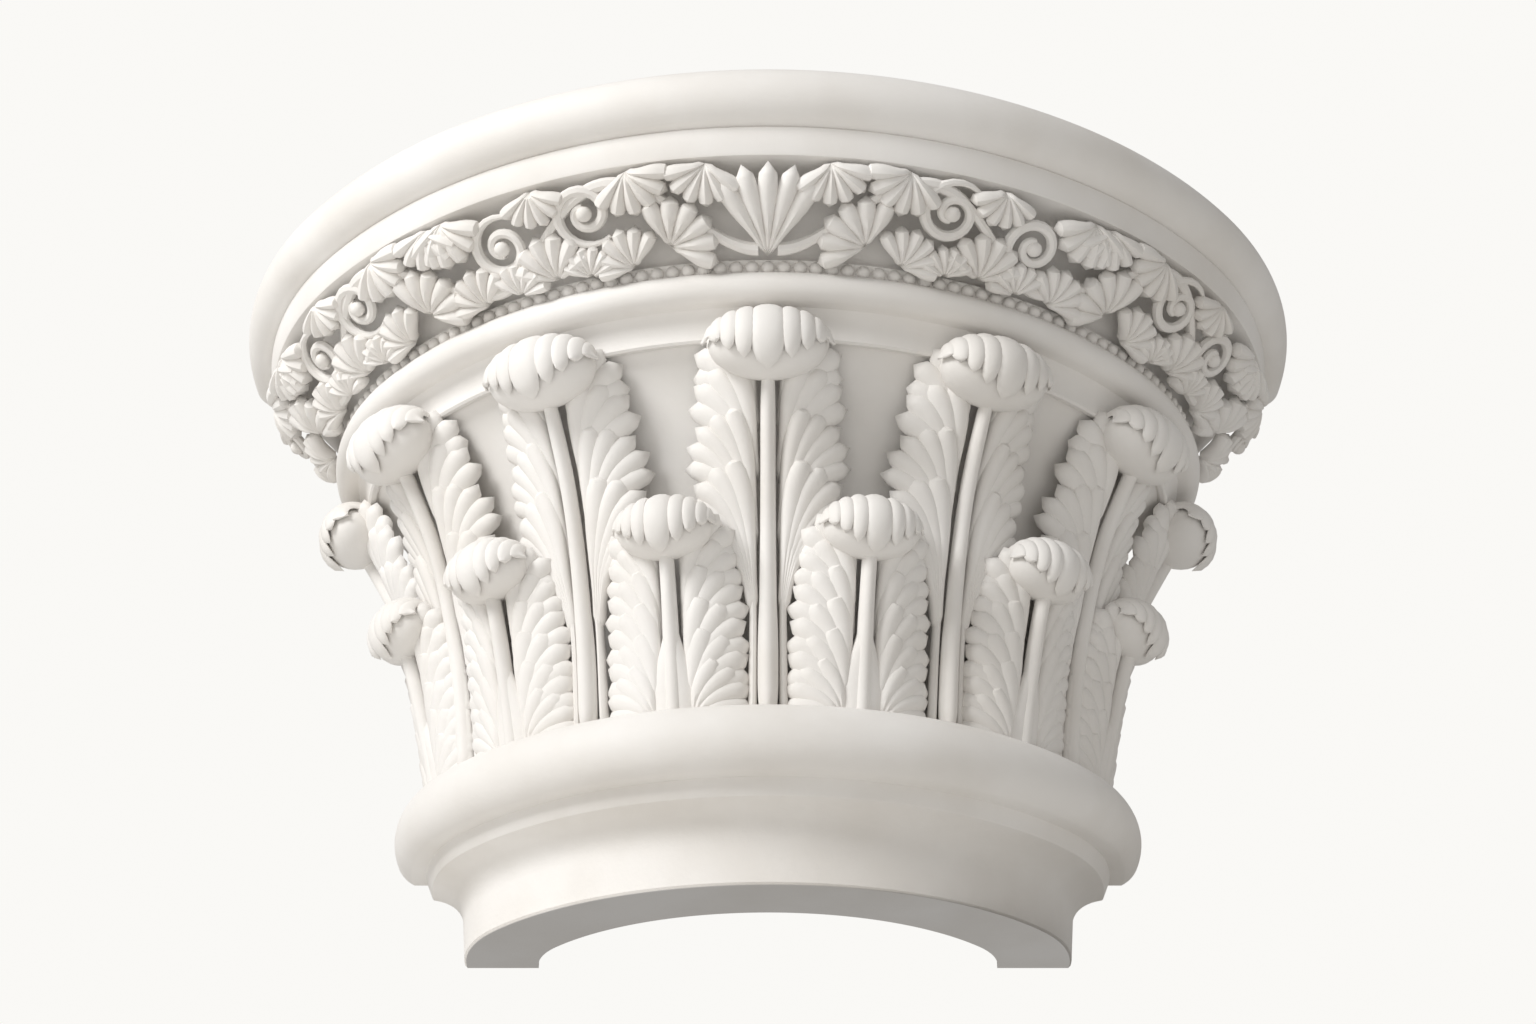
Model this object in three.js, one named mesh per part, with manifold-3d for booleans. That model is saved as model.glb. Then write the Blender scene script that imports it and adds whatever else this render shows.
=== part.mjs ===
// Corinthian capital of a half-round pier: one plaster casting, open underneath and behind.
// Millimetres, +Z up. The carved front faces -Y and the flat back faces +Y.

import * as THREE from 'three';
import { mergeVertices } from 'three/addons/utils/BufferGeometryUtils.js';
import Module from 'manifold-3d';

const wasm = await Module();
wasm.setup();

// Driving dimensions.
const SHAFT_RADIUS = 280;
const WALL_THICKNESS = 60;
const HEIGHT = 598;
const ROOF_UNDERSIDE = 476;

// The plan is three-centred: a front arc about the origin out to FLANK_ANGLE on each side, then
// two flank arcs whose radius is FLANK_OFFSET shorter, out to the flat back.
const FLANK_ANGLE = THREE.MathUtils.degToRad(50);
const FLANK_OFFSET = 140;
const PLAN_STEPS = 24;

// Mouldings, as radius and height: neck, lower torus, bell, lip, frieze, top torus.
const NECK = { bandTop: 32, filletRadius: 310, filletLow: 58, filletTop: 71, topRadius: 316 };
const LOWER_TORUS = { radius: 314, height: 98, roll: 30 };
const BELL = { foot: 128, footRadius: 288, waist: 345, waistRadius: 300, top: 416, topRadius: 386 };
const LIP = { bandLow: 412, bandRadius: 393, bandTop: 436, bandTopRadius: 405 };
const LIP_TORUS = { radius: 413, height: 448, roll: 13 };
const BEADS = { low: 461, radius: 421, top: 469 };
const FRIEZE = { low: 468, lowRadius: 418, top: 524, topRadius: 485, proud: 15 };
const FILLET = { low: 522, radius: 489, top: 545, topRadius: 494 };
const TOP_TORUS = { radius: 491, roll: 26 };

// Leaves: centre line as radius and height, clusters of lobes, half widths and overturned tip.
const TALL_LEAF = {
  angles: [0, 26.5, 52, 90],
  path: [[300, 120], [311, 200], [328, 270], [349, 325], [375, 370], [400, 408]],
  clusters: 3,
  clusterStart: 0.4,
  halfWidth: 64,
  stalkHalfWidth: 20,
  thickness: 50,
  curl: { radius: 405, height: 398, depth: 31, width: 52, rise: 29 },
};
const SHORT_LEAF = {
  angles: [13, 39, 68],
  path: [[304, 120], [314, 165], [327, 210], [341, 248], [354, 270]],
  clusters: 4,
  clusterStart: 0.04,
  halfWidth: 58,
  stalkHalfWidth: 48,
  thickness: 50,
  curl: { radius: 356, height: 264, depth: 27, width: 42, rise: 25 },
};

const PLASTER = new THREE.MeshStandardMaterial({ color: 0xebe6df, roughness: 0.82, metalness: 0 });

/** The point of the plan at a radius and an angle from the front, in degrees of arc. */
function planPoint(radius, angle) {
  const centreAngle = THREE.MathUtils.clamp(angle, -FLANK_ANGLE, FLANK_ANGLE);
  const reach = radius - FLANK_OFFSET;
  return new THREE.Vector2(
    FLANK_OFFSET * Math.sin(centreAngle) + reach * Math.sin(angle),
    -FLANK_OFFSET * Math.cos(centreAngle) - reach * Math.cos(angle),
  );
}

/** Moves each vertex of a geometry to where the rule places it. */
function warp(geometry, rule) {
  const position = geometry.attributes.position;
  const vertex = new THREE.Vector3();
  for (let i = 0; i < position.count; i += 1) {
    vertex.fromBufferAttribute(position, i);
    const moved = rule(vertex);
    position.setXYZ(i, moved.x, moved.y, moved.z);
  }
  return geometry;
}

/** Turns a closed geometry into a solid of the boolean library. */
function toSolid(geometry) {
  geometry.deleteAttribute('normal');
  geometry.deleteAttribute('uv');
  const merged = mergeVertices(geometry, 1e-3);
  const vertProperties = new Float32Array(merged.attributes.position.array);
  const triVerts = new Uint32Array(merged.index.array);
  return new wasm.Manifold(new wasm.Mesh({ numProp: 3, vertProperties, triVerts }));
}

/** Turns a solid of the boolean library back into a geometry. */
function toGeometry(solid) {
  const { vertProperties, triVerts } = solid.getMesh();
  const geometry = new THREE.BufferGeometry();
  geometry.setAttribute('position', new THREE.BufferAttribute(vertProperties, 3));
  geometry.setIndex(new THREE.BufferAttribute(triVerts, 1));
  return geometry;
}

/** Joins closed geometries into one solid. */
function joinAll(geometries) {
  return geometries.map(toSolid).reduce((whole, solid) => whole.add(solid));
}

/** Sweeps a section, drawn as radius and height, round the whole plan. */
function sweepRoundPlan(section, curveSegments) {
  const options = { depth: 1, steps: PLAN_STEPS, bevelEnabled: false, curveSegments };
  return warp(new THREE.ExtrudeGeometry(section, options), (v) => {
    const plan = planPoint(v.x, (0.5 - v.z) * Math.PI);
    return new THREE.Vector3(plan.x, plan.y, v.y);
  });
}

/** The moulded section: neck, lower torus, bell, lip, bead roll, frieze ground, fillet, top torus. */
function mouldedSection() {
  const inner = SHAFT_RADIUS - WALL_THICKNESS;
  const topTorusHeight = HEIGHT - TOP_TORUS.roll;
  const section = new THREE.Shape();
  section.moveTo(inner, 0);
  section.lineTo(SHAFT_RADIUS, 0);
  section.lineTo(SHAFT_RADIUS + 3, NECK.bandTop);
  section.quadraticCurveTo(SHAFT_RADIUS + 4, NECK.filletLow - 4, NECK.filletRadius, NECK.filletLow);
  section.lineTo(NECK.topRadius, NECK.filletTop);
  section.absarc(LOWER_TORUS.radius, LOWER_TORUS.height, LOWER_TORUS.roll, -1.2, 1.75, false);
  section.lineTo(BELL.footRadius, BELL.foot);
  section.quadraticCurveTo(BELL.waistRadius, BELL.waist, BELL.topRadius, BELL.top);
  section.lineTo(LIP.bandRadius, LIP.bandLow);
  section.lineTo(LIP.bandTopRadius, LIP.bandTop);
  section.absarc(LIP_TORUS.radius, LIP_TORUS.height, LIP_TORUS.roll, -1.6, 1.3, false);
  section.lineTo(BEADS.radius, BEADS.low);
  section.lineTo(BEADS.radius, BEADS.top);
  section.lineTo(FRIEZE.lowRadius, FRIEZE.low);
  section.lineTo(FRIEZE.topRadius, FRIEZE.top);
  section.lineTo(FILLET.radius, FILLET.low);
  section.lineTo(FILLET.topRadius, FILLET.top);
  section.absarc(TOP_TORUS.radius, topTorusHeight, TOP_TORUS.roll, -1.2, Math.PI / 2, false);
  section.lineTo(inner, HEIGHT);
  return section;
}

/** The slab that closes the hollow at the top, under the flat top bed. */
function roof() {
  const radius = SHAFT_RADIUS + 20;
  const outline = [];
  for (let i = 0; i <= PLAN_STEPS; i += 1) {
    outline.push(planPoint(radius, (i / PLAN_STEPS - 0.5) * Math.PI));
  }
  const depth = HEIGHT - ROOF_UNDERSIDE;
  const slab = new THREE.ExtrudeGeometry(new THREE.Shape(outline), { depth, bevelEnabled: false });
  return slab.translate(0, 0, ROOF_UNDERSIDE);
}

/** The outward and sideways directions of the plan at an angle. */
function directionsAt(angle) {
  return {
    out: new THREE.Vector2(Math.sin(angle), -Math.cos(angle)),
    along: new THREE.Vector2(Math.cos(angle), Math.sin(angle)),
  };
}

/** Places a point given as sideways distance, radius and height beside a plan angle. */
function placeAt(angle, side, radius, height) {
  const { along } = directionsAt(angle);
  const foot = planPoint(radius, angle);
  return new THREE.Vector3(foot.x + along.x * side, foot.y + along.y * side, height);
}

/** The rows of a leaf from foot to tip: place along the centre line and half width. */
function leafRows(leaf) {
  const pitch = (1 - leaf.clusterStart) / leaf.clusters;
  const rows = [{ v: 0, half: leaf.stalkHalfWidth }];
  for (let k = 0; k < leaf.clusters; k += 1) {
    const start = leaf.clusterStart + k * pitch;
    const swell = 1 - 0.16 * Math.abs(k / (leaf.clusters - 1) - 0.45);
    const hollow = k === 0 ? leaf.stalkHalfWidth : leaf.halfWidth * swell * 0.78;
    rows.push({ v: start, half: hollow });
    rows.push({ v: start + 0.72 * pitch, half: leaf.halfWidth * swell });
  }
  rows.push({ v: 1, half: leaf.curl.width * 0.8 });
  return rows;
}

/** The blade of a leaf, with raised midrib, side furrows and a scalloped edge that bends back. */
function leafBlade(leaf, angle) {
  const rows = leafRows(leaf);
  const points = leaf.path.map(([radius, height]) => new THREE.Vector2(radius, height));
  const centreLine = new THREE.SplineCurve(points);
  const columns = 4;
  const relief = [-14, 2, 8, 2, -14];
  const grid = new THREE.BoxGeometry(2, 1, 1, columns, rows.length - 1, 1);
  return warp(grid, (v) => {
    const row = rows[Math.round((v.y + 0.5) * (rows.length - 1))];
    const column = Math.round((v.x + 1) * columns / 2);
    const at = centreLine.getPoint(row.v);
    const tangent = centreLine.getTangent(row.v);
    const lift = v.z > 0 ? relief[column] : relief[column] * 0.5 - leaf.thickness;
    return placeAt(angle, v.x * row.half, at.x + tangent.y * lift, at.y - tangent.x * lift);
  });
}

/** A leaf tip that turns over outwards: a wide ball with flutes from top to bottom. */
function leafCurl(curl, angle) {
  const flutes = 10;
  const ball = new THREE.SphereGeometry(1, flutes, 4);
  return warp(ball, (v) => {
    const turn = Math.round(Math.atan2(v.z, v.x) / (2 * Math.PI) * flutes);
    const flute = turn % 2 === 0 ? 1 : 0.88;
    const radius = curl.radius + v.z * curl.depth * flute;
    return placeAt(angle, v.x * curl.width * flute, radius, curl.height + v.y * curl.rise);
  });
}

// The frieze is drawn flat, with x along it from the middle, y up its slope and z outwards.
const FRIEZE_RADIUS = (FRIEZE.lowRadius + FRIEZE.topRadius) / 2;
const FRIEZE_RUN = new THREE.Vector2(FRIEZE.topRadius - FRIEZE.lowRadius, FRIEZE.top - FRIEZE.low);
const FRIEZE_SLOPE = FRIEZE_RUN.length();
const FRIEZE_FRONT_LENGTH = FRIEZE_RADIUS * FLANK_ANGLE;
const FRIEZE_FLANK_RADIUS = FRIEZE_RADIUS - FLANK_OFFSET;
const FRIEZE_HALF_LENGTH = FRIEZE_FRONT_LENGTH + FRIEZE_FLANK_RADIUS * (Math.PI / 2 - FLANK_ANGLE);
const FRIEZE_SINK = 6;

/** Bends a flat frieze drawing onto its sloping ground. */
function ontoFrieze(geometry) {
  const up = FRIEZE_RUN.clone().normalize();
  return warp(geometry, (v) => {
    const beyond = Math.max(0, Math.abs(v.x) - FRIEZE_FRONT_LENGTH);
    const front = Math.min(Math.abs(v.x), FRIEZE_FRONT_LENGTH);
    const angle = Math.sign(v.x) * (front / FRIEZE_RADIUS + beyond / FRIEZE_FLANK_RADIUS);
    const radius = FRIEZE.lowRadius + up.x * v.y + up.y * v.z;
    const plan = planPoint(radius, angle);
    return new THREE.Vector3(plan.x, plan.y, FRIEZE.low + up.y * v.y - up.x * v.z);
  });
}

/** Raises a flat outline off the flat frieze drawing. */
function raise(outline, x, y) {
  const depth = FRIEZE.proud + FRIEZE_SINK;
  const relief = new THREE.ExtrudeGeometry(new THREE.Shape(outline), { depth, bevelEnabled: false });
  return relief.translate(x, y, -FRIEZE_SINK);
}

/** The outline of a scroll: a band that winds inwards and ends in an eye. */
function scrollOutline(radius, turns, band, hand) {
  const steps = 11;
  const outer = [];
  const inner = [];
  for (let i = 0; i <= steps; i += 1) {
    const t = i / steps;
    const turn = hand * (0.9 + turns * 2 * Math.PI * t);
    const reach = radius * (1 - 0.8 * t);
    const half = band * (0.5 - 0.15 * t);
    outer.push(new THREE.Vector2((reach + half) * Math.cos(turn), (reach + half) * Math.sin(turn)));
    inner.push(new THREE.Vector2((reach - half) * Math.cos(turn), (reach - half) * Math.sin(turn)));
  }
  return [...outer, ...inner.reverse()];
}

/** The outline of a fan leaf with pointed fingers, opening towards a direction. */
function fanOutline(reach, fingers, spread, direction) {
  const outline = [new THREE.Vector2(0, 0)];
  for (let i = 0; i <= 2 * fingers; i += 1) {
    const turn = direction + spread * (i / (2 * fingers) - 0.5);
    const length = reach * (i % 2 === 1 ? 1 : 0.6);
    outline.push(new THREE.Vector2(length * Math.cos(turn), length * Math.sin(turn)));
  }
  return outline;
}

/** The outline of the stem that waves along one side of the frieze. */
function stemOutline(hand) {
  const waves = 2.66;
  const steps = 21;
  const half = 6;
  const above = [];
  const below = [];
  for (let i = 0; i <= steps; i += 1) {
    const t = i / steps;
    const x = hand * THREE.MathUtils.lerp(8, FRIEZE_HALF_LENGTH + 6, t);
    const y = FRIEZE_SLOPE * (0.5 - 0.38 * Math.cos(waves * 2 * Math.PI * t));
    above.push(new THREE.Vector2(x, y + half));
    below.push(new THREE.Vector2(x, y - half));
  }
  return [...above, ...below.reverse()];
}

/** The carving of one side of the frieze: stem, paired scrolls and fan leaves in each bay. */
function friezeSide(hand) {
  const bay = 231;
  const middle = FRIEZE_SLOPE / 2;
  const pieces = [raise(stemOutline(hand), 0, 0)];
  for (let start = 0; start < FRIEZE_HALF_LENGTH; start += bay) {
    const raiseAt = (outline, x, y) => {
      if (start + x < FRIEZE_HALF_LENGTH + 20) {
        pieces.push(raise(outline, hand * (start + x), y));
      }
    };
    raiseAt(scrollOutline(27, 1.6, 10, hand), 143, middle + 12);
    raiseAt(scrollOutline(27, 1.6, 10, -hand), 218, middle + 2);
    raiseAt(fanOutline(42, 4, 2.2, hand > 0 ? 2.4 : 0.74), 80, 16);
    raiseAt(fanOutline(40, 4, 2.4, 1.57), 181, 6);
    raiseAt(fanOutline(38, 4, 2.2, -1.57), 262, FRIEZE_SLOPE - 4);
  }
  return pieces;
}

/** The bud in the middle of the frieze, with three lobes at its top. */
function centreBud() {
  return raise(fanOutline(FRIEZE_SLOPE, 3, 0.75, Math.PI / 2), 0, 0);
}

/** The whole openwork carving of the frieze, joined flat and then bent onto its ground. */
function friezeCarving() {
  const pieces = [centreBud(), ...friezeSide(-1), ...friezeSide(1)];
  return ontoFrieze(toGeometry(joinAll(pieces)));
}

/** A box behind the flat back, which cuts off what would pass through it. */
function behindBack() {
  const size = 4 * SHAFT_RADIUS;
  const backPlane = -FLANK_OFFSET * Math.cos(FLANK_ANGLE);
  return new THREE.BoxGeometry(size, size, size).translate(0, backPlane + size / 2, 0);
}

/** All the angles at which a leaf stands, on both sides of the middle. */
function leafAngles(leaf) {
  const sides = leaf.angles.flatMap((angle) => (angle === 0 ? [0] : [-angle, angle]));
  return sides.map(THREE.MathUtils.degToRad);
}

/** Every form of the capital, each a closed geometry. */
function forms() {
  const all = [sweepRoundPlan(mouldedSection(), 3), roof(), friezeCarving()];
  for (const leaf of [TALL_LEAF, SHORT_LEAF]) {
    for (const angle of leafAngles(leaf)) {
      all.push(leafBlade(leaf, angle), leafCurl(leaf.curl, angle));
    }
  }
  return all;
}

/** Joins the forms into one casting and cuts its back flat. */
function casting() {
  const geometry = toGeometry(joinAll(forms()).subtract(toSolid(behindBack())));
  geometry.computeVertexNormals();
  return geometry;
}

const capital = new THREE.Mesh(casting(), PLASTER);
capital.name = 'capital';

// The origin is under the middle of the whole capital's depth.
capital.geometry.computeBoundingBox();
const bounds = capital.geometry.boundingBox;
capital.position.y = -(bounds.min.y + bounds.max.y) / 2;

const group = new THREE.Group();
group.add(capital);

export default group;
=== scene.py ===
"""A half-round Corinthian capital in white plaster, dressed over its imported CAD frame.

The casting has a flattened half-round plan, two rows of acanthus leaves, an openwork scroll
frieze with a row of beads under it, and a torus at its top and at its foot. Mouldings, leaves
and carving are drawn in millimetres, and the plan turns them into places in metres.
"""

from __future__ import annotations

import logging
import math
from dataclasses import dataclass, field
from enum import Enum
from typing import Callable

import bmesh
import bpy
from mathutils import Matrix, Vector


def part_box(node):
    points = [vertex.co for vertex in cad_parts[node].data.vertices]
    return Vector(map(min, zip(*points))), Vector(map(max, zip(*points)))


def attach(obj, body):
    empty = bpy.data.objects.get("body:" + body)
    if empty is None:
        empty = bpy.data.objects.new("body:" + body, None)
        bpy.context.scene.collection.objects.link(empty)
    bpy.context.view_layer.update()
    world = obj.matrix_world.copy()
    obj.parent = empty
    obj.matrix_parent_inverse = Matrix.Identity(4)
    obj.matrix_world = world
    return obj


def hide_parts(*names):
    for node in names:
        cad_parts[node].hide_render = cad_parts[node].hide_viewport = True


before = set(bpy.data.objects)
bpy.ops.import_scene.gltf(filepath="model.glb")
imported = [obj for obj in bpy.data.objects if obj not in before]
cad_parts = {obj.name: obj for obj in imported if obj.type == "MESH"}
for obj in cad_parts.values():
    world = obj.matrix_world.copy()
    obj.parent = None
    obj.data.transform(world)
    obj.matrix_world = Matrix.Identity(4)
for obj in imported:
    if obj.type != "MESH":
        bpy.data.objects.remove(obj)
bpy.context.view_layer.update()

log = logging.getLogger("capital")

MM = 0.001
MERGE_DISTANCE = 1e-6
NODE = "capital"
UP = (0.0, 0.0, 1.0)

Pair = tuple[float, float]
Triple = tuple[float, float, float]
Colour = tuple[float, float, float, float]
Place = Callable[[float, float, float], Vector]
Ring = list[bmesh.types.BMVert]


class Side(Enum):
    """A side of the capital or of a leaf, as the sign of its sideways distances."""

    LEFT = -1.0
    RIGHT = 1.0


def sides_of(offset: float) -> tuple[Side, ...]:
    """Returns both sides, or one alone for what stands in the middle."""
    return tuple(Side) if offset else (Side.RIGHT,)


def smoothstep(low: float, high: float, value: float) -> float:
    """Returns 0 below low, 1 above high and a smooth rise between them."""
    t = min(1.0, max(0.0, (value - low) / (high - low)))
    return t * t * (3.0 - 2.0 * t)


def mix(a: float, b: float, t: float) -> float:
    """Returns the value at t of the way from a to b."""
    return a + (b - a) * t


@dataclass(frozen=True)
class Plan:
    """The three-centred plan: a front arc, and a tighter arc on each flank.

    Attributes:
        centre_y: Where the front arc's centre lies.
        flank_angle: Angle from the front at which the flank arcs begin.
        flank_offset: How much shorter the radius of a flank arc is.
    """

    centre_y: float
    flank_angle: float = math.radians(50.0)
    flank_offset: float = 140.0 * MM

    def out(self, angle: float) -> Vector:
        """Returns the outward direction at an angle from the front."""
        return Vector((math.sin(angle), -math.cos(angle), 0.0))

    def along(self, angle: float) -> Vector:
        """Returns the sideways direction, towards +X, at an angle from the front."""
        return Vector((math.cos(angle), math.sin(angle), 0.0))

    @property
    def centre(self) -> Vector:
        """The centre of the front arc."""
        return Vector((0.0, self.centre_y, 0.0))

    def flank_centre(self, side: Side) -> Vector:
        """Returns the centre of the flank arc on a side."""
        return self.centre + self.out(side.value * self.flank_angle) * self.flank_offset

    def point(self, radius: float, angle: float, height: float = 0.0) -> Vector:
        """Returns the point at a radius, an angle from the front and a height."""
        held = min(self.flank_angle, max(-self.flank_angle, angle))
        foot = Vector((0.0, self.centre_y, height))
        return foot + self.out(held) * self.flank_offset + self.out(angle) * (radius - self.flank_offset)

    def angle_at(self, length: float, radius: float) -> float:
        """Returns the angle reached by a length round the plan from its middle."""
        front = radius * self.flank_angle
        if abs(length) <= front:
            return length / radius
        beyond = (abs(length) - front) / (radius - self.flank_offset)
        return math.copysign(self.flank_angle + beyond, length)

    def half_length(self, radius: float) -> float:
        """Returns the length round the plan from its middle to its back plane."""
        flank = (radius - self.flank_offset) * (math.pi / 2 - self.flank_angle)
        return radius * self.flank_angle + flank

    @property
    def back_y(self) -> float:
        """The plane of the flat back."""
        return self.centre_y - self.flank_offset * math.cos(self.flank_angle)


def arc(centre: Pair, roll: float, start: float, end: float, steps: int) -> list[Pair]:
    """Returns points of an arc of a moulding.

    Args:
        centre: Radius and height of its centre.
        roll: Its own radius.
        start: First angle in degrees, from straight outwards.
        end: Last angle in degrees.
        steps: Number of straight stretches.

    Returns:
        The points as radius and height.
    """
    angles = [math.radians(mix(start, end, i / steps)) for i in range(steps + 1)]
    return [(centre[0] + roll * math.cos(a), centre[1] + roll * math.sin(a)) for a in angles]


def curve(a: Pair, b: Pair, c: Pair, steps: int) -> list[Pair]:
    """Returns points of a quadratic curve from a to c, drawn towards b."""
    points = []
    for i in range(steps + 1):
        t = i / steps
        points.append(tuple(mix(mix(p, q, t), mix(q, r, t), t) for p, q, r in zip(a, b, c)))
    return points


def join(mesh: bmesh.types.BMesh, part: bmesh.types.BMesh) -> None:
    """Moves a small mesh into a larger one. The small one is used up."""
    data = bpy.data.meshes.new("part")
    part.to_mesh(data)
    part.free()
    mesh.from_mesh(data)
    bpy.data.meshes.remove(data)


def skin(mesh: bmesh.types.BMesh, rings: list[Ring]) -> None:
    """Adds the wall of a tube between each of its rings and the next."""
    sides = len(rings[0])
    for a, b in zip(rings, rings[1:]):
        for i in range(sides):
            mesh.faces.new((a[i], a[(i + 1) % sides], b[(i + 1) % sides], b[i]))


def face_outwards(mesh: bmesh.types.BMesh) -> None:
    """Turns every face of a closed mesh outwards."""
    bmesh.ops.recalc_face_normals(mesh, faces=mesh.faces[:])


def keep_piece(
    name: str, mesh: bmesh.types.BMesh, material: bpy.types.Material, smooth_angle: float = 40.0
) -> bpy.types.Object:
    """Turns a bmesh into a piece of the capital.

    Args:
        name: The piece's name.
        mesh: Its faces, which are used up.
        material: Its finish.
        smooth_angle: Edges sharper than this many degrees stay crisp.

    Returns:
        The new object, riding on the casting's body.
    """
    data = bpy.data.meshes.new(name)
    mesh.to_mesh(data)
    mesh.free()
    data.shade_smooth()
    data.set_sharp_from_angle(angle=math.radians(smooth_angle))
    data.materials.append(material)
    piece = bpy.data.objects.new(name, data)
    bpy.context.scene.collection.objects.link(piece)
    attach(piece, "root")
    log.info("%s: %d faces", name, len(data.polygons))
    return piece


def cut_back(mesh: bmesh.types.BMesh, plan: Plan) -> None:
    """Cuts a closed mesh flat at the back plane and closes the cut."""
    cut = bmesh.ops.bisect_plane(
        mesh,
        geom=mesh.verts[:] + mesh.edges[:] + mesh.faces[:],
        dist=MERGE_DISTANCE,
        plane_co=(0.0, plan.back_y, 0.0),
        plane_no=(0.0, 1.0, 0.0),
        clear_outer=True,
    )
    edges = [e for e in cut["geom_cut"] if isinstance(e, bmesh.types.BMEdge) and e.is_boundary]
    if edges:
        bmesh.ops.holes_fill(mesh, edges=edges, sides=0)


@dataclass(frozen=True)
class Plaster:
    """Aged casting plaster: matt, warm white, faintly mottled, with a fine grain.

    Attributes:
        colour: The clean surface.
        shade: The duller tone of the mottling.
        gloss: Specular level, low because plaster hardly shines.
        mottle_scale: Patches of tone to the metre.
        mottle_range: Where the mottling turns from the duller tone to the clean one.
        grain_scale: Grains to the metre.
        grain_strength: How strongly the grain shows.
        grain_depth: Its depth in metres.
    """

    colour: Colour = (0.85, 0.828, 0.80, 1.0)
    shade: Colour = (0.77, 0.74, 0.70, 1.0)
    roughness: float = 0.62
    gloss: float = 0.35
    mottle_scale: float = 9.0
    mottle_detail: float = 6.0
    mottle_range: Pair = (0.3, 0.62)
    grain_scale: float = 260.0
    grain_detail: float = 4.0
    grain_strength: float = 0.25
    grain_depth: float = 0.0006

    def build(self) -> bpy.types.Material:
        """Returns the finished material."""
        material = bpy.data.materials.new("casting_plaster")
        material.use_nodes = True
        tree = material.node_tree
        shader = tree.nodes["Principled BSDF"]
        shader.inputs["Roughness"].default_value = self.roughness
        shader.inputs["Specular IOR Level"].default_value = self.gloss
        place = tree.nodes.new("ShaderNodeTexCoord")
        self.add_mottle(tree, place.outputs["Object"], shader.inputs["Base Color"])
        self.add_grain(tree, place.outputs["Object"], shader.inputs["Normal"])
        return material

    def add_noise(
        self, tree: bpy.types.NodeTree, place: bpy.types.NodeSocket, scale: float, detail: float
    ) -> bpy.types.NodeSocket:
        """Adds a noise pattern.

        Args:
            tree: The material's nodes.
            place: Coordinates that the pattern follows.
            scale: Its patches to the metre.
            detail: How many finer layers it has.

        Returns:
            The strength of the pattern.
        """
        noise = tree.nodes.new("ShaderNodeTexNoise")
        noise.inputs["Scale"].default_value = scale
        noise.inputs["Detail"].default_value = detail
        tree.links.new(place, noise.inputs["Vector"])
        return noise.outputs["Fac"]

    def add_mottle(
        self, tree: bpy.types.NodeTree, place: bpy.types.NodeSocket, target: bpy.types.NodeSocket
    ) -> None:
        """Adds the change of tone over the surface."""
        tone = tree.nodes.new("ShaderNodeValToRGB")
        dull, clean = tone.color_ramp.elements
        dull.position, clean.position = self.mottle_range
        dull.color = self.shade
        clean.color = self.colour
        noise = self.add_noise(tree, place, self.mottle_scale, self.mottle_detail)
        tree.links.new(noise, tone.inputs["Fac"])
        tree.links.new(tone.outputs["Color"], target)

    def add_grain(
        self, tree: bpy.types.NodeTree, place: bpy.types.NodeSocket, target: bpy.types.NodeSocket
    ) -> None:
        """Adds the fine grain of the plaster."""
        bump = tree.nodes.new("ShaderNodeBump")
        bump.inputs["Strength"].default_value = self.grain_strength
        bump.inputs["Distance"].default_value = self.grain_depth
        noise = self.add_noise(tree, place, self.grain_scale, self.grain_detail)
        tree.links.new(noise, bump.inputs["Height"])
        tree.links.new(bump.outputs["Normal"], target)


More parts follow.
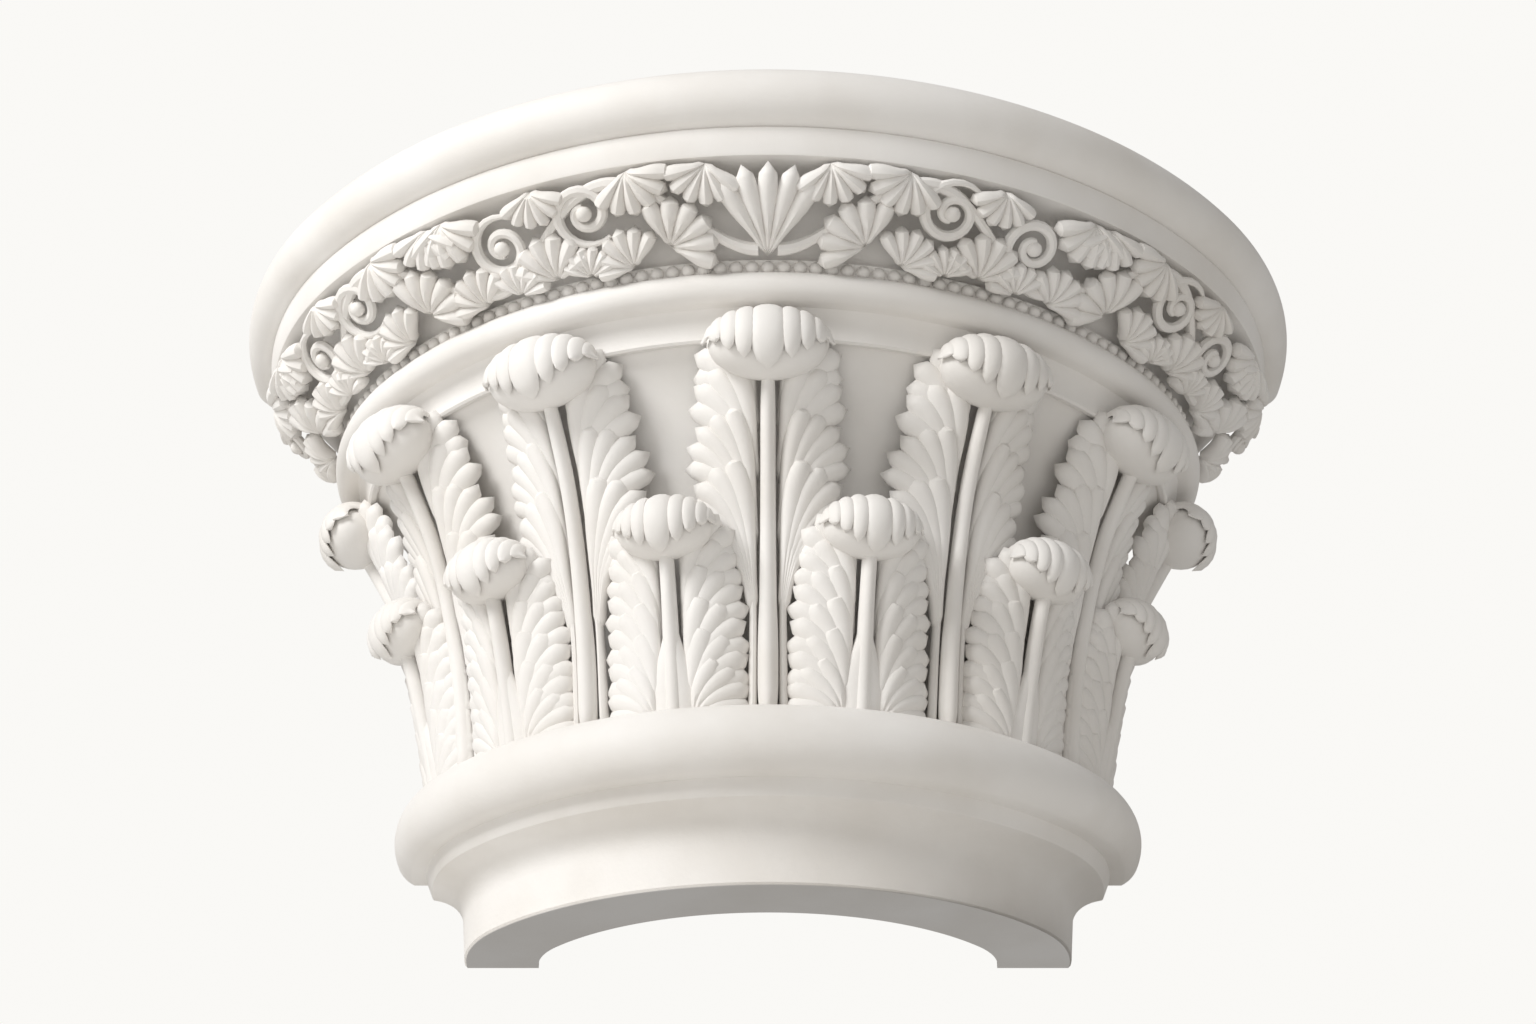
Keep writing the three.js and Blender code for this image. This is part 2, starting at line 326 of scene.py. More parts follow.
@dataclass(frozen=True)
class Drum:
    """The moulded body: neck, lower torus, bell, lip, frieze ground, fillet and top torus.

    Every moulding is given as radius and height in millimetres.
    """

    plan: Plan
    wall: float = 220.0
    height: float = 598.0
    roof: float = 476.0
    roof_lap: float = 0.2
    shaft: float = 280.0
    arris: float = 2.0
    neck: tuple[Pair, Pair, Pair] = ((283.0, 32.0), (284.0, 54.0), (310.0, 58.0))
    neck_fillet: tuple[Pair, ...] = ((311.0, 59.0), (316.0, 71.0))
    lower_torus: Pair = (314.0, 98.0)
    lower_roll: float = 30.0
    torus_heel: Pair = (296.0, 127.5)
    bell: tuple[Pair, Pair, Pair] = ((288.0, 127.0), (300.0, 345.0), (386.0, 416.0))
    lip_edge: tuple[Pair, ...] = ((388.0, 413.5), (392.0, 412.5))
    lip_band: tuple[Pair, Pair, Pair] = ((394.0, 414.0), (396.0, 430.0), (405.0, 436.0))
    lip: Pair = (413.0, 448.0)
    lip_roll: float = 13.0
    bead_ledge: tuple[Pair, ...] = ((418.0, 466.5), (421.0, 470.0))
    frieze_ground: tuple[Pair, ...] = ((413.0, 474.0), (459.0, 522.5))
    top_fillet: tuple[Pair, ...] = ((489.0, 521.0), (490.5, 523.0), (494.0, 545.0), (493.0, 546.5))
    top_torus: Pair = (491.0, 572.0)
    top_roll: float = 26.0
    front_steps: int = 64
    flank_steps: int = 22
    roof_steps: int = 60
    crisp_angle: float = 30.0

    def section(self) -> list[Pair]:
        """Returns the closed section, from the inner foot outwards and up."""
        points = [(self.wall, 0.0), (self.shaft - self.arris, 0.0), (self.shaft, self.arris)]
        points += curve(*self.neck, 10)
        points += self.neck_fillet
        points += arc(self.lower_torus, self.lower_roll, -64.0, 100.0, 26)
        points += [self.torus_heel]
        points += curve(*self.bell, 26)
        points += self.lip_edge
        points += curve(*self.lip_band, 8)
        points += arc(self.lip, self.lip_roll, -92.0, 72.0, 18)
        points += self.bead_ledge
        points += self.frieze_ground
        points += self.top_fillet
        points += arc(self.top_torus, self.top_roll, -72.0, 90.0, 26)
        points += [(self.wall, self.height)]
        return points

    def build(self, material: bpy.types.Material) -> bpy.types.Object:
        """Makes the drum and its roof.

        Args:
            material: The plaster.

        Returns:
            The drum's shell.
        """
        shell = self.build_shell(material)
        self.build_roof(material)
        return shell

    def build_shell(self, material: bpy.types.Material) -> bpy.types.Object:
        """Spins the section round one flank, the front and the other flank."""
        mesh = bmesh.new()
        start = -math.pi / 2
        ring = [mesh.verts.new(self.plan.point(r * MM, start, z * MM)) for r, z in self.section()]
        loop = [mesh.edges.new((a, b)) for a, b in zip(ring, ring[1:] + ring[:1])]
        mesh.faces.new(ring)
        geometry: list[bmesh.types.BMVert | bmesh.types.BMEdge] = ring + loop
        front = 2.0 * self.plan.flank_angle
        flank = math.pi / 2 - self.plan.flank_angle
        for pivot, angle, steps in (
            (self.plan.flank_centre(Side.LEFT), flank, self.flank_steps),
            (self.plan.centre, front, self.front_steps),
            (self.plan.flank_centre(Side.RIGHT), flank, self.flank_steps),
        ):
            spun = bmesh.ops.spin(mesh, geom=geometry, cent=pivot, axis=UP, angle=angle, steps=steps)
            geometry = [g for g in spun["geom_last"] if not isinstance(g, bmesh.types.BMFace)]
        edges = [g for g in geometry if isinstance(g, bmesh.types.BMEdge)]
        bmesh.ops.contextual_create(mesh, geom=edges)
        bmesh.ops.remove_doubles(mesh, verts=mesh.verts[:], dist=MERGE_DISTANCE)
        face_outwards(mesh)
        return keep_piece("mouldings_and_bell", mesh, material, self.crisp_angle)

    def build_roof(self, material: bpy.types.Material) -> bpy.types.Object:
        """Makes the slab that closes the hollow under the flat top bed."""
        mesh = bmesh.new()
        inner = (self.wall + self.roof_lap) * MM
        rim = []
        for i in range(self.roof_steps + 1):
            angle = mix(-math.pi / 2, math.pi / 2, i / self.roof_steps)
            rim.append(mesh.verts.new(self.plan.point(inner, angle, self.roof * MM)))
        face = mesh.faces.new(rim)
        lifted = bmesh.ops.extrude_face_region(mesh, geom=[face])
        top = [g for g in lifted["geom"] if isinstance(g, bmesh.types.BMVert)]
        bmesh.ops.translate(mesh, verts=top, vec=(0.0, 0.0, (self.height - self.roof) * MM))
        face_outwards(mesh)
        return keep_piece("top_bed", mesh, material, self.crisp_angle)


@dataclass(frozen=True)
class Lobe:
    """One rounded finger of a leaf: a flattened spindle that follows a bent path.

    Lengths are in millimetres on the leaf: x is sideways, y along the leaf, z proud of it.

    Attributes:
        root: Where the path starts.
        bend: The point that it bends towards.
        tip: Where it ends.
        half_width: Half width of its belly.
        root_width: Half width of its root.
        thickness: How far its front stands out from the path.
        around: Faces round it.
        rings: Faces along it.
        belly: Where along the path it widens from root to belly.
        tip_start: Where along the path the round tip starts.
        root_end: Where along the path the round root ends.
        back_share: Depth of its back as a share of its front.
        look: How far along the path its direction is measured.
    """

    root: Triple
    bend: Triple
    tip: Triple
    half_width: float
    root_width: float
    thickness: float = 4.0
    around: int = 12
    rings: int = 12
    belly: Pair = (0.15, 0.7)
    tip_start: float = 0.78
    root_end: float = 0.06
    back_share: float = 0.7
    look: float = 0.02

    def centre(self, t: float) -> Vector:
        """Returns the point of the path at t from root to tip."""
        a, b, c = Vector(self.root), Vector(self.bend), Vector(self.tip)
        return a.lerp(b, t).lerp(b.lerp(c, t), t)

    def width(self, t: float) -> float:
        """Returns the half width at t: a slim root, a full belly and a round tip."""
        swell = mix(self.root_width, self.half_width, smoothstep(*self.belly, t))
        beyond = max(0.0, t - self.tip_start) / (1.0 - self.tip_start)
        round_tip = math.sqrt(max(0.0, 1.0 - beyond**2))
        round_root = math.sqrt(min(1.0, t / self.root_end))
        return swell * round_tip * round_root

    def add(self, mesh: bmesh.types.BMesh, place: Place) -> None:
        """Adds the lobe to a mesh.

        Args:
            mesh: Where it goes.
            place: Turns a point on the leaf, in millimetres, into a point of the capital.
        """
        part = bmesh.new()
        bmesh.ops.create_uvsphere(part, u_segments=self.around, v_segments=self.rings, radius=1.0)
        slim = 0.5 * self.half_width
        for vert in part.verts:
            t = math.acos(max(-1.0, min(1.0, -vert.co.z))) / math.pi
            at_pole = math.hypot(vert.co.x, vert.co.y) <= MERGE_DISTANCE
            turn = 0.0 if at_pole else math.atan2(vert.co.y, vert.co.x)
            width = self.width(t)
            ahead = self.centre(min(1.0, t + self.look)) - self.centre(max(0.0, t - self.look))
            side = Vector((ahead.y, -ahead.x, 0.0)).normalized()
            rise = math.sin(turn)
            depth = self.thickness * (rise if rise > 0.0 else self.back_share * rise)
            depth *= min(1.0, width / slim)
            point = self.centre(t) + side * (math.cos(turn) * width)
            vert.co = place(point.x, point.y, point.z + depth)
        join(mesh, part)


@dataclass(frozen=True)
class Cluster:
    """A fan of lobes that share one stem.

    Attributes:
        centre: Middle of the fan, sideways and along, in millimetres.
        reach: Radius of the fan.
        first: Direction of the innermost lobe in degrees, where 90 is up the leaf.
        last: Direction of the outermost lobe.
        lobes: How many lobes it has.
        root: Where the stem starts.
        proud: How far its middle stands out.
        fullness: Width of a lobe as a share of its room in the fan.
        stem: Half width of the shared stem.
        thickness: How far a lobe's front stands out.
    """

    centre: Pair
    reach: float
    first: float
    last: float
    lobes: int
    root: Pair
    proud: float
    fullness: float = 1.06
    stem: float = 3.4
    thickness: float = 7.5

    def fan(self, side: Side) -> list[Lobe]:
        """Returns the lobes on one side of the leaf."""
        made = []
        sign = side.value
        step = math.radians(abs(self.first - self.last)) / max(1, self.lobes - 1)
        half = self.reach * math.sin(step / 2.0) * self.fullness
        for i in range(self.lobes):
            share = i / max(1, self.lobes - 1)
            turn = math.radians(mix(self.first, self.last, share))
            tip = (
                sign * (self.centre[0] + self.reach * math.cos(turn)),
                self.centre[1] + self.reach * math.sin(turn),
                self.proud + mix(1.0, -1.0, share),
            )
            bend = (
                sign * mix(0.62, 1.0, share) * self.centre[0],
                self.centre[1] + mix(0.25, -0.12, share) * self.reach,
                self.proud + 3.0,
            )
            root = (sign * (self.root[0] + 2.0 * share), self.root[1], self.proud - 3.0)
            made.append(Lobe(root, bend, tip, half, self.stem, self.thickness))
        return made


@dataclass(frozen=True)
class Midrib:
    """The rib up the middle of a leaf and the slim stem on each side of it.

    Attributes:
        foot: Half width at the foot, where it may flare.
        middle: Half width in the middle.
        head: Half width at the top.
        stem_offset: Sideways distance of a stem's ends.
    """

    foot: float
    middle: float
    head: float
    stem_offset: float = 12.0

    def lobes(self, top: float) -> list[Lobe]:
        """Returns the rib and its stems for a leaf whose centre line is as long as top."""
        rib_ends = ((0.0, 0.0, 10.0), (0.0, top * 0.5, 13.0), (0.0, top + 6.0, 8.0))
        made = [Lobe(*rib_ends, self.head, self.middle, thickness=8.0, around=16, rings=28)]
        if self.foot > self.middle:
            flare = ((0.0, top * 0.62, 11.0), (0.0, top * 0.3, 11.0), (0.0, -12.0, 8.0))
            made.append(Lobe(*flare, self.foot, self.middle * 0.7, thickness=7.0, around=16, rings=20))
        for side in Side:
            x = side.value * self.stem_offset
            stem = ((x, 0.0, 5.0), (x - side.value, top * 0.3, 7.0), (x, top * 0.62, 7.0))
            made.append(Lobe(*stem, 3.0, 3.6, thickness=5.0, around=10, rings=20))
        return made


@dataclass(frozen=True)
class Flute:
    """A rib that wraps over a leaf's overturned tip.

    Attributes:
        share: Where it lies, from 0 in the middle to 1 at the tip's end.
        half: Its half width as a share of the tip's.
        end: Where it ends in front, in degrees over the top.
    """

    share: float
    half: float
    end: float


@dataclass(frozen=True)
class Curl:
    """The overturned tip of a leaf: a core and flutes that wrap over it from back to front.

    Attributes:
        centre: Radius and height of its middle.
        depth: Half depth.
        width: Half width.
        rise: Half height.
        flutes: The flutes of one side, from the middle outwards.
        core: Size of the core as a share of the tip, along each of its three ways.
    """

    centre: Pair
    depth: float
    width: float
    rise: float
    flutes: tuple[Flute, ...] = (
        Flute(0.0, 0.26, -72.0),
        Flute(0.36, 0.15, -56.0),
        Flute(0.6, 0.13, -44.0),
        Flute(0.8, 0.11, -30.0),
        Flute(0.94, 0.08, -14.0),
    )
    core: Triple = (0.93, 0.92, 0.92)

    def add(self, mesh: bmesh.types.BMesh, plan: Plan, angle: float) -> None:
        """Adds the tip to a leaf.

        Args:
            mesh: Where it goes.
            plan: The capital's plan.
            angle: Where the leaf stands, in radians from the front.
        """

        def wrap(x: float, over: float, proud: float) -> Vector:
            """Places a point: x sideways, degrees over the top, and how far proud."""
            share = min(0.999, abs(x) / self.width)
            shrink = math.sqrt(1.0 - share * share)
            turn = math.radians(over)
            radius = self.centre[0] + (self.depth * shrink + proud) * math.cos(turn)
            height = self.centre[1] + (self.rise * shrink + proud) * math.sin(turn)
            return plan.point(radius * MM, angle, height * MM) + plan.along(angle) * (x * MM)

        core = bmesh.ops.create_uvsphere(mesh, u_segments=20, v_segments=14, radius=1.0)
        across, inwards, upwards = self.core
        for vert in core["verts"]:
            radius = (self.centre[0] + vert.co.y * self.depth * inwards) * MM
            height = (self.centre[1] + vert.co.z * self.rise * upwards) * MM
            aside = plan.along(angle) * (vert.co.x * self.width * across * MM)
            vert.co = plan.point(radius, angle, height) + aside
        for flute in self.flutes:
            half = flute.half * self.width
            for side in sides_of(flute.share):
                x = side.value * flute.share * self.width
                ends = ((x * 0.75, 170.0, -1.5), (x * 1.1, 60.0, 1.5), (x, flute.end, 0.5))
                Lobe(*ends, half, half * 0.5, thickness=3.0, around=12, rings=18).add(mesh, wrap)


@dataclass(frozen=True)
class Pattern:
    """What every leaf of a row shares.

    Attributes:
        path: Its centre line as radius and height in millimetres.
        clusters: The fans on each side.
        curl: Its overturned tip.
        midrib: Its midrib.
        bend_back: How far the sides fall away, per millimetre sideways squared.
    """

    path: tuple[Pair, ...]
    clusters: tuple[Cluster, ...]
    curl: Curl
    midrib: Midrib
    bend_back: float = 0.0046


@dataclass
class Leaf:
    """An acanthus leaf on a midrib, whose fluted tip turns over outwards.

    Attributes:
        plan: The capital's plan.
        angle: Where it stands, in radians from the front.
        pattern: Its row's pattern.
        line: Its centre line as close points, worked out once.
    """

    plan: Plan
    angle: float
    pattern: Pattern
    line: list[Vector] = field(default_factory=list)

    def __post_init__(self) -> None:
        """Works out the centre line, a smooth curve through the points of the path."""
        steps = 16
        knots = [Vector(point) for point in self.pattern.path]
        knots = [knots[0] * 2 - knots[1]] + knots + [knots[-1] * 2 - knots[-2]]
        for a, b, c, d in zip(knots, knots[1:], knots[2:], knots[3:]):
            linear = c - a
            square = 2 * a - 5 * b + 4 * c - d
            cube = 3 * b - a - 3 * c + d
            for i in range(steps):
                t = i / steps
                self.line.append(0.5 * (2 * b + linear * t + square * t**2 + cube * t**3))
        self.line.append(knots[-2])

    @property
    def length(self) -> float:
        """Length of the centre line in millimetres."""
        return sum((b - a).length for a, b in zip(self.line, self.line[1:]))

    def at(self, along: float) -> tuple[Vector, Vector]:
        """Returns the point and the direction of the centre line at a distance from its foot."""
        left = along
        for a, b in zip(self.line, self.line[1:]):
            step = (b - a).length
            if left <= step or b is self.line[-1]:
                return a + (b - a) * (left / step), (b - a) / step
            left -= step
        raise ValueError("the centre line is empty")

    def place(self, x: float, y: float, z: float) -> Vector:
        """Returns the point of the capital for a point on the leaf in millimetres."""
        point, ahead = self.at(y)
        lift = z - self.pattern.bend_back * x * x
        radius = point.x + ahead.y * lift
        height = point.y - ahead.x * lift
        foot = self.plan.point(radius * MM, self.angle, height * MM)
        return foot + self.plan.along(self.angle) * (x * MM)

    def add(self, mesh: bmesh.types.BMesh) -> None:
        """Adds the whole leaf to a mesh."""
        for lobe in self.pattern.midrib.lobes(self.length):
            lobe.add(mesh, self.place)
        for cluster in self.pattern.clusters:
            for side in Side:
                for lobe in cluster.fan(side):
                    lobe.add(mesh, self.place)
        self.pattern.curl.add(mesh, self.plan, self.angle)


@dataclass(frozen=True)
class LeafRow:
    """One row of leaves of the same pattern.

    Attributes:
        name: The row's piece name.
        plan: The capital's plan.
        angles: Where its leaves stand on one side, in degrees from the front.
        pattern: What they share.
    """

    name: str
    plan: Plan
    angles: tuple[float, ...]
    pattern: Pattern

    def build(self, material: bpy.types.Material) -> bpy.types.Object:
        """Makes every leaf of the row as one piece, cut flat at the back."""
        mesh = bmesh.new()
        for angle in self.angles:
            for side in sides_of(angle):
                part = bmesh.new()
                Leaf(self.plan, math.radians(side.value * angle), self.pattern).add(part)
                join(mesh, part)
        cut_back(mesh, self.plan)
        face_outwards(mesh)
        return keep_piece(self.name, mesh, material)


def tall_leaves(plan: Plan) -> LeafRow:
    """Returns the row of tall leaves, whose tips curl under the lip."""
    pattern = Pattern(
        path=((300.0, 120.0), (311.0, 200.0), (328.0, 270.0), (349.0, 325.0), (375.0, 370.0), (400.0, 408.0)),
        clusters=(
            Cluster((26.0, 286.0), 35.0, 84.0, -14.0, 4, (8.0, 236.0), 0.0),
            Cluster((23.0, 254.0), 41.0, 80.0, 0.0, 4, (8.0, 195.0), 3.0),
            Cluster((23.0, 214.0), 44.0, 80.0, -8.0, 5, (9.0, 140.0), 6.0),
            Cluster((23.0, 174.0), 42.0, 80.0, -20.0, 5, (10.0, 84.0), 9.0),
        ),
        curl=Curl((405.0, 398.0), depth=31.0, width=51.0, rise=29.0),
        midrib=Midrib(foot=8.0, middle=7.0, head=6.0),
    )
    return LeafRow("tall_leaves", plan, (0.0, 26.5, 52.0, 90.0), pattern)


def short_leaves(plan: Plan) -> LeafRow:
    """Returns the row of short leaves, which stand before the tall ones' stalks."""
    pattern = Pattern(
        path=((304.0, 120.0), (314.0, 165.0), (327.0, 210.0), (341.0, 248.0), (354.0, 270.0)),
        clusters=(
            Cluster((22.0, 138.0), 32.0, 84.0, -12.0, 4, (8.0, 90.0), 1.0),
            Cluster((20.0, 116.0), 37.0, 78.0, 0.0, 4, (8.0, 62.0), 3.0),
            Cluster((21.0, 90.0), 38.0, 78.0, 0.0, 4, (9.0, 36.0), 5.0),
            Cluster((21.0, 64.0), 38.0, 80.0, -5.0, 4, (11.0, 12.0), 7.0),
            Cluster((22.0, 40.0), 37.0, 80.0, -10.0, 4, (13.0, 2.0), 8.0),
            Cluster((24.0, 18.0), 35.0, 70.0, -12.0, 4, (15.0, 0.0), 9.0),
        ),
        curl=Curl((356.0, 264.0), depth=27.0, width=41.0, rise=25.0),
        midrib=Midrib(foot=18.0, middle=7.0, head=6.0),
    )
    return LeafRow("short_leaves", plan, (13.0, 39.0, 68.0), pattern)


@dataclass(frozen=True)
class Scroll:
    """A scroll in a bay of the frieze: its place along and up, and the way it winds."""

    x: float
    y: float
    hand: Side


@dataclass(frozen=True)
class Spray:
    """A leaf in a bay of the frieze: its root along and up, its reach, its direction in degrees."""

    x: float
    y: float
    reach: float
    direction: float


@dataclass(frozen=True)
class Frieze:
    """The openwork scroll frieze and the row of beads under it.

    The carving is drawn flat in millimetres: x along it from the middle, y up its slope, z proud.

    Attributes:
        plan: The capital's plan.
        low: Radius and height of its lower edge.
        high: Radius and height of its upper edge.
        proud: How far the carving stands out.
        bay: Length of the pattern that repeats.
        overrun: How far a bay may start its carving past the back plane.
        tube_sides: Faces round a stem.
    """

    plan: Plan
    low: Pair = (421.0, 471.0)
    high: Pair = (484.0, 524.0)
    proud: float = 15.0
    bay: float = 231.0
    overrun: float = 20.0
    tube_sides: int = 8
    scroll_radius: float = 27.0
    scroll_turns: float = 1.6
    scroll_steps: int = 34
    eye_radius: float = 6.5
    eye_rise: float = 6.0
    stem_waves: float = 2.66
    stem_radius: float = 5.5
    stem_steps: int = 120
    bead_pitch: float = 12.6
    bead_radius: float = 414.0
    bead_height: float = 464.5
    bead_offset: float = 4.0
    bead_size: float = 5.6

    @property
    def slope(self) -> float:
        """Height of the frieze up its slope."""
        return math.dist(self.low, self.high)

    @property
    def middle_radius(self) -> float:
        """Radius of the frieze half-way up, in metres."""
        return (self.low[0] + self.high[0]) / 2 * MM

    @property
    def half_length(self) -> float:
        """Length of the frieze from its middle to the back plane."""
        return self.plan.half_length(self.middle_radius) / MM

    def scrolls(self) -> tuple[Scroll, ...]:
        """Returns the scrolls of one bay."""
        middle = self.slope / 2
        return Scroll(143.0, middle + 12.0, Side.RIGHT), Scroll(218.0, middle + 2.0, Side.LEFT)

    def sprays(self) -> tuple[Spray, ...]:
        """Returns the leaves of one bay, which grow from its lower and upper edges."""
        top = self.slope - 3.0
        return (
            Spray(46.0, top, 34.0, -75.0),
            Spray(80.0, 16.0, 42.0, 137.0),
            Spray(106.0, top, 36.0, -110.0),
            Spray(112.0, 4.0, 34.0, 62.0),
            Spray(150.0, 3.0, 26.0, 95.0),
            Spray(181.0, 6.0, 40.0, 90.0),
            Spray(181.0, top, 30.0, -90.0),
            Spray(216.0, 3.0, 28.0, 110.0),
            Spray(252.0, 4.0, 34.0, 70.0),
            Spray(262.0, top, 38.0, -90.0),
        )

    def place(self, x: float, y: float, z: float) -> Vector:
        """Returns the point of the capital for a point of the flat drawing."""
        rise = Vector((self.high[0] - self.low[0], self.high[1] - self.low[1])).normalized()
        angle = self.plan.angle_at(x * MM, self.middle_radius)
        radius = self.low[0] + rise.x * y + rise.y * z
        return self.plan.point(radius * MM, angle, (self.low[1] + rise.y * y - rise.x * z) * MM)

    def add_ring(self, mesh: bmesh.types.BMesh, spot: Triple, across: Pair, thick: float, cap: bool) -> Ring:
        """Adds one ring of a stem.

        Args:
            mesh: Where it goes.
            spot: Its middle in the flat drawing.
            across: Direction across the stem.
            thick: Radius of the stem there.
            cap: Whether the ring closes an end.

        Returns:
            The ring's corners in order.
        """
        x, y, z = spot
        made = bmesh.ops.create_circle(mesh, cap_ends=cap, radius=1.0, segments=self.tube_sides)
        for vert in made["verts"]:
            side = vert.co.x * thick
            vert.co = self.place(x + across[0] * side, y + across[1] * side, z + vert.co.y * thick)
        return made["verts"]

    def add_scroll(self, mesh: bmesh.types.BMesh, x: float, y: float, hand: float) -> None:
        """Adds a scroll that winds in to a round eye.

        Args:
            mesh: Where it goes.
            x: Place of its eye along the frieze.
            y: Place of its eye up the slope.
            hand: 1 to wind one way and -1 to wind the other.
        """
        part = bmesh.new()
        rings = []
        for i in range(self.scroll_steps + 1):
            t = i / self.scroll_steps
            turn = hand * (0.9 + self.scroll_turns * math.tau * t)
            reach = self.scroll_radius * (1.0 - 0.82 * t)
            thick = mix(5.2, 3.6, t) * min(1.0, 0.35 + 3.0 * t)
            out = (math.cos(turn), math.sin(turn))
            spot = (x + reach * out[0], y + reach * out[1], self.proud - 5.0)
            rings.append(self.add_ring(part, spot, out, thick, i in (0, self.scroll_steps)))
        skin(part, rings)
        eye = bmesh.ops.create_uvsphere(part, u_segments=12, v_segments=8, radius=1.0)
        for vert in eye["verts"]:
            aside = (vert.co.x * self.eye_radius, vert.co.y * self.eye_radius)
            vert.co = self.place(x + aside[0], y + aside[1], self.proud - 3.0 + vert.co.z * self.eye_rise)
        join(mesh, part)

    def add_fan(self, mesh: bmesh.types.BMesh, leaf: Spray, spread: float = 130.0, lobes: int = 6) -> None:
        """Adds a leaf of the frieze: lobes that fan out from one point.

        Args:
            mesh: Where it goes.
            leaf: Its root, reach and direction.
            spread: Angle of the whole fan in degrees.
            lobes: How many lobes it has.
        """
        step = math.radians(spread) / (lobes - 1)
        half = leaf.reach * math.sin(step / 2.0) * 0.8
        root = (leaf.x, leaf.y, self.proud - 9.0)
        for i in range(lobes):
            turn = math.radians(leaf.direction + spread * (i / (lobes - 1) - 0.5))
            out = (leaf.reach * math.cos(turn), leaf.reach * math.sin(turn))
            bend = (leaf.x + 0.5 * out[0], leaf.y + 0.5 * out[1], self.proud)
            tip = (leaf.x + out[0], leaf.y + out[1], self.proud - 5.0)
            Lobe(root, bend, tip, half, 2.6, thickness=8.0, around=10, rings=8).add(mesh, self.place)

    def add_stem(self, mesh: bmesh.types.BMesh, side: Side) -> None:
        """Adds the stem that waves along one side."""
        part = bmesh.new()
        rings = []
        for i in range(self.stem_steps + 1):
            t = i / self.stem_steps
            x = side.value * mix(8.0, self.half_length + 6.0, t)
            y = self.slope * (0.5 - 0.38 * math.cos(self.stem_waves * math.tau * t))
            spot = (x, y, self.proud - 7.0)
            rings.append(self.add_ring(part, spot, (0.0, 1.0), self.stem_radius, i in (0, self.stem_steps)))
        skin(part, rings)
        join(mesh, part)

    def add_side(self, mesh: bmesh.types.BMesh, side: Side) -> None:
        """Adds the stem, the scrolls and the leaves of one side, bay after bay."""
        self.add_stem(mesh, side)
        limit = self.half_length + self.overrun
        start = 0.0
        while start < self.half_length:
            for scroll in self.scrolls():
                if start + scroll.x < limit:
                    x = side.value * (start + scroll.x)
                    self.add_scroll(mesh, x, scroll.y, side.value * scroll.hand.value)
            for spray in self.sprays():
                if start + spray.x < limit:
                    way = spray.direction if side is Side.RIGHT else 180.0 - spray.direction
                    x = side.value * (start + spray.x)
                    self.add_fan(mesh, Spray(x, spray.y, spray.reach, way))
            start += self.bay

    def build_carving(self, material: bpy.types.Material) -> bpy.types.Object:
        """Makes the scrolls, leaves, stems and the middle bud as one piece."""
        mesh = bmesh.new()
        for side in Side:
            self.add_side(mesh, side)
        bud = Spray(0.0, 4.0, self.slope - 6.0, 90.0)
        self.add_fan(mesh, bud, spread=60.0, lobes=5)
        cut_back(mesh, self.plan)
        face_outwards(mesh)
        return keep_piece("frieze_carving", mesh, material)

    def build_beads(self, material: bpy.types.Material) -> bpy.types.Object:
        """Makes the row of beads."""
        mesh = bmesh.new()
        radius = self.bead_radius * MM
        stand = radius + self.bead_offset * MM
        count = int(self.plan.half_length(radius) / MM / self.bead_pitch)
        for i in range(-count, count + 1):
            part = bmesh.new()
            angle = self.plan.angle_at(i * self.bead_pitch * MM, radius)
            place = Matrix.Translation(self.plan.point(stand, angle, self.bead_height * MM))
            size = self.bead_size * MM
            bmesh.ops.create_uvsphere(part, u_segments=12, v_segments=8, radius=size, matrix=place)
            join(mesh, part)
        cut_back(mesh, self.plan)
        face_outwards(mesh)
        return keep_piece("bead_row", mesh, material)


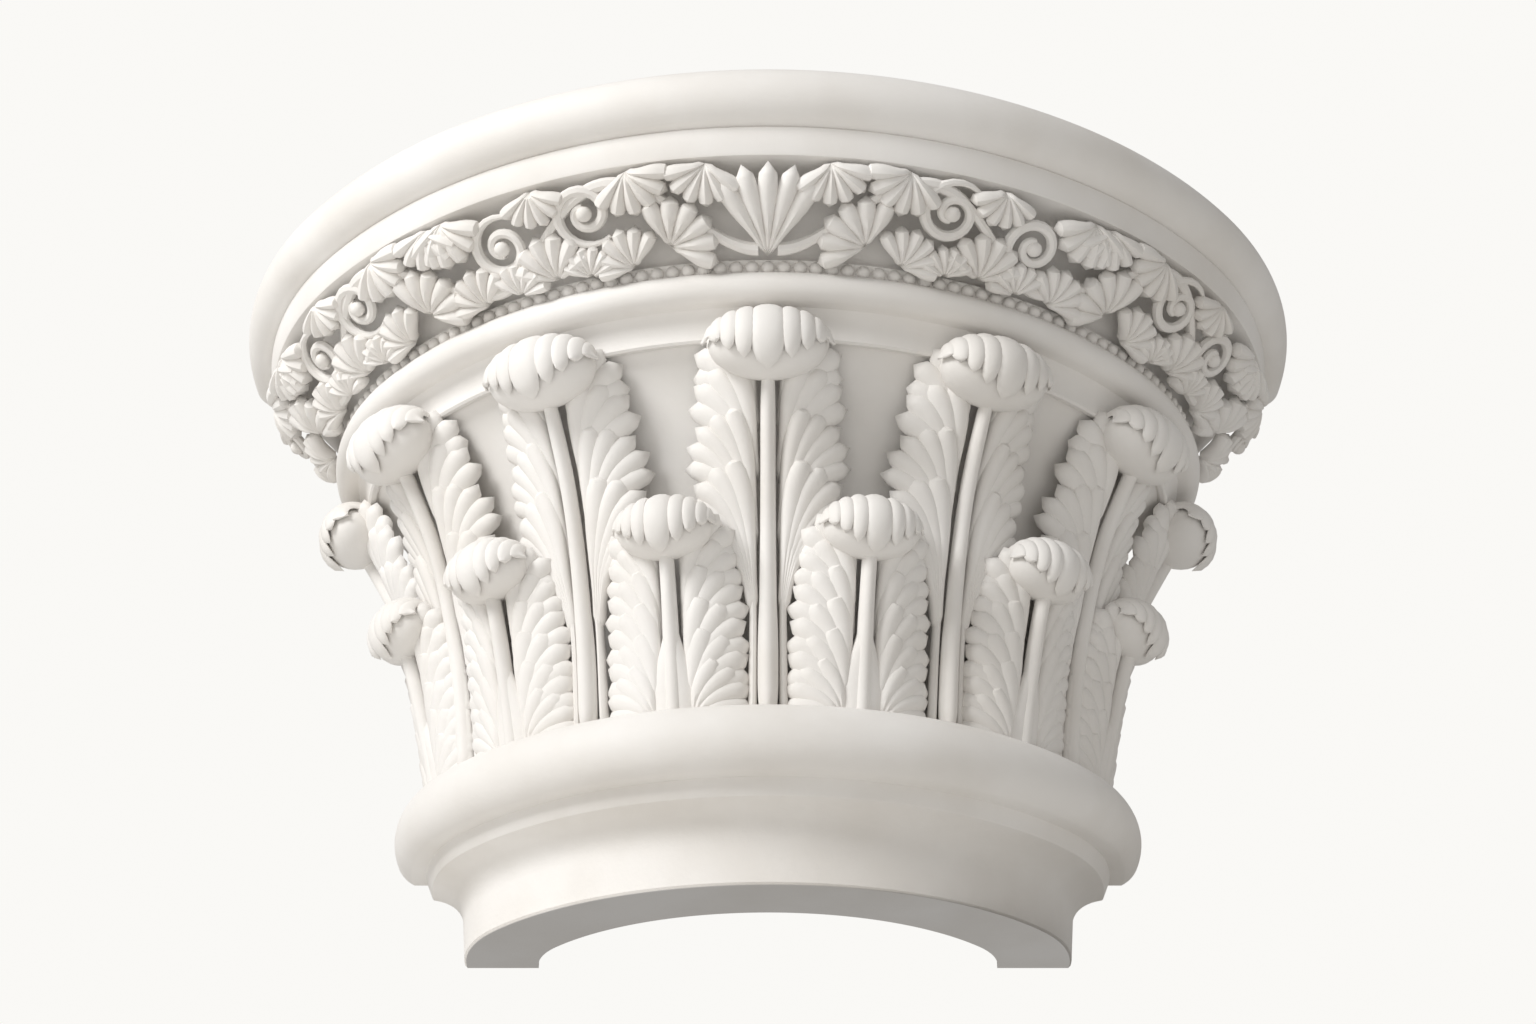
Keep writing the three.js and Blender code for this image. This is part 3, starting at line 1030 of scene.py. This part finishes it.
@dataclass(frozen=True)
class Studio:
    """The pale floor, the soft lights and the camera, which looks up from below the base.

    Attributes:
        plan: The capital's plan.
        unit: The shaft's radius, which the camera's places are given in.
        distance: From the camera to the front arc's centre.
        drop: From the underside down to the camera.
        pitch: How far the camera looks up, in degrees.
        lens: Its focal length in millimetres.
        fill: Colour of the light that the room gives.
        fill_strength: Its strength.
        backdrop: What the camera sees behind the capital.
        key_place: Where the key light stands, up and to the left.
        key_target: What it points at.
        floor_size: Half the floor's side in metres.
        floor_lift: How far the floor lies above the underside, so that the two don't coincide.
    """

    plan: Plan
    unit: float = 280.0 * MM
    distance: float = 6.53
    drop: float = 2.1
    pitch: float = 30.4
    lens: float = 51.56
    sensor: float = 36.0
    fill: Colour = (1.0, 0.985, 0.965, 1.0)
    fill_strength: float = 0.41
    backdrop: Colour = (0.955, 0.945, 0.92, 1.0)
    key_power: float = 72.0
    key_size: float = 1.1
    key_place: Triple = (-2.1, -1.9, 1.7)
    key_target: Triple = (0.0, 0.0, 0.3)
    floor_size: float = 6.0
    floor_lift: float = 0.4 * MM
    floor_colour: Colour = (0.9, 0.89, 0.87, 1.0)
    floor_roughness: float = 0.9

    def build(self) -> None:
        """Sets up the view, the lights and the floor."""
        self.place_camera()
        self.light_room()
        self.place_key()
        self.place_floor()

    def place_camera(self) -> None:
        """Places the camera before the front, below the base and tilted up."""
        data = bpy.data.cameras.new("camera")
        data.lens = self.lens
        data.sensor_width = self.sensor
        camera = bpy.data.objects.new("camera", data)
        bpy.context.scene.collection.objects.link(camera)
        camera.location = (0.0, self.plan.centre_y - self.distance * self.unit, -self.drop * self.unit)
        camera.rotation_euler = (math.radians(90.0 + self.pitch), 0.0, 0.0)
        bpy.context.scene.camera = camera

    def light_room(self) -> None:
        """Lets a bright room fill the shadows, with a plain pale backdrop behind the capital."""
        world = bpy.data.worlds.new("room")
        world.use_nodes = True
        nodes = world.node_tree.nodes
        links = world.node_tree.links
        fill = nodes["Background"]
        fill.inputs["Color"].default_value = self.fill
        fill.inputs["Strength"].default_value = self.fill_strength
        backdrop = nodes.new("ShaderNodeBackground")
        backdrop.inputs["Color"].default_value = self.backdrop
        seen = nodes.new("ShaderNodeLightPath")
        blend = nodes.new("ShaderNodeMixShader")
        links.new(seen.outputs["Is Camera Ray"], blend.inputs["Fac"])
        links.new(fill.outputs["Background"], blend.inputs[1])
        links.new(backdrop.outputs["Background"], blend.inputs[2])
        links.new(blend.outputs["Shader"], nodes["World Output"].inputs["Surface"])
        bpy.context.scene.world = world
        bpy.context.scene.view_settings.view_transform = "Standard"

    def place_key(self) -> None:
        """Places a large soft key light."""
        data = bpy.data.lights.new("key", "AREA")
        data.energy = self.key_power
        data.size = self.key_size
        key = bpy.data.objects.new("key", data)
        bpy.context.scene.collection.objects.link(key)
        key.location = self.key_place
        key.rotation_euler = (Vector(self.key_target) - key.location).to_track_quat("-Z", "Y").to_euler()

    def floor_paper(self) -> bpy.types.Material:
        """Returns the floor's pale paper, which is clear when seen from below."""
        material = bpy.data.materials.new("floor_paper")
        material.use_nodes = True
        nodes = material.node_tree.nodes
        links = material.node_tree.links
        shader = nodes["Principled BSDF"]
        shader.inputs["Base Color"].default_value = self.floor_colour
        shader.inputs["Roughness"].default_value = self.floor_roughness
        clear = nodes.new("ShaderNodeBsdfTransparent")
        side = nodes.new("ShaderNodeNewGeometry")
        blend = nodes.new("ShaderNodeMixShader")
        links.new(side.outputs["Backfacing"], blend.inputs["Fac"])
        links.new(shader.outputs["BSDF"], blend.inputs[1])
        links.new(clear.outputs["BSDF"], blend.inputs[2])
        links.new(blend.outputs["Shader"], nodes["Material Output"].inputs["Surface"])
        return material

    def place_floor(self) -> None:
        """Makes a level floor that is only seen from above."""
        mesh = bmesh.new()
        lift = Matrix.Translation((0.0, 0.0, self.floor_lift))
        bmesh.ops.create_grid(mesh, x_segments=1, y_segments=1, size=self.floor_size, matrix=lift)
        data = bpy.data.meshes.new("floor")
        mesh.to_mesh(data)
        mesh.free()
        data.materials.append(self.floor_paper())
        floor = bpy.data.objects.new("floor", data)
        bpy.context.scene.collection.objects.link(floor)


def main() -> None:
    """Builds the studio and every piece of the capital."""
    logging.basicConfig(level=logging.INFO, format="%(message)s")
    back_of_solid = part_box(NODE)[1][1]
    plan = Plan(back_of_solid - Plan(0.0).back_y)
    Studio(plan).build()
    material = Plaster().build()
    shell = Drum(plan).build(material)
    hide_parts(NODE)
    tall_leaves(plan).build(material)
    short_leaves(plan).build(material)
    frieze = Frieze(plan)
    frieze.build_carving(material)
    frieze.build_beads(material)


if __name__ == "__main__":
    main()
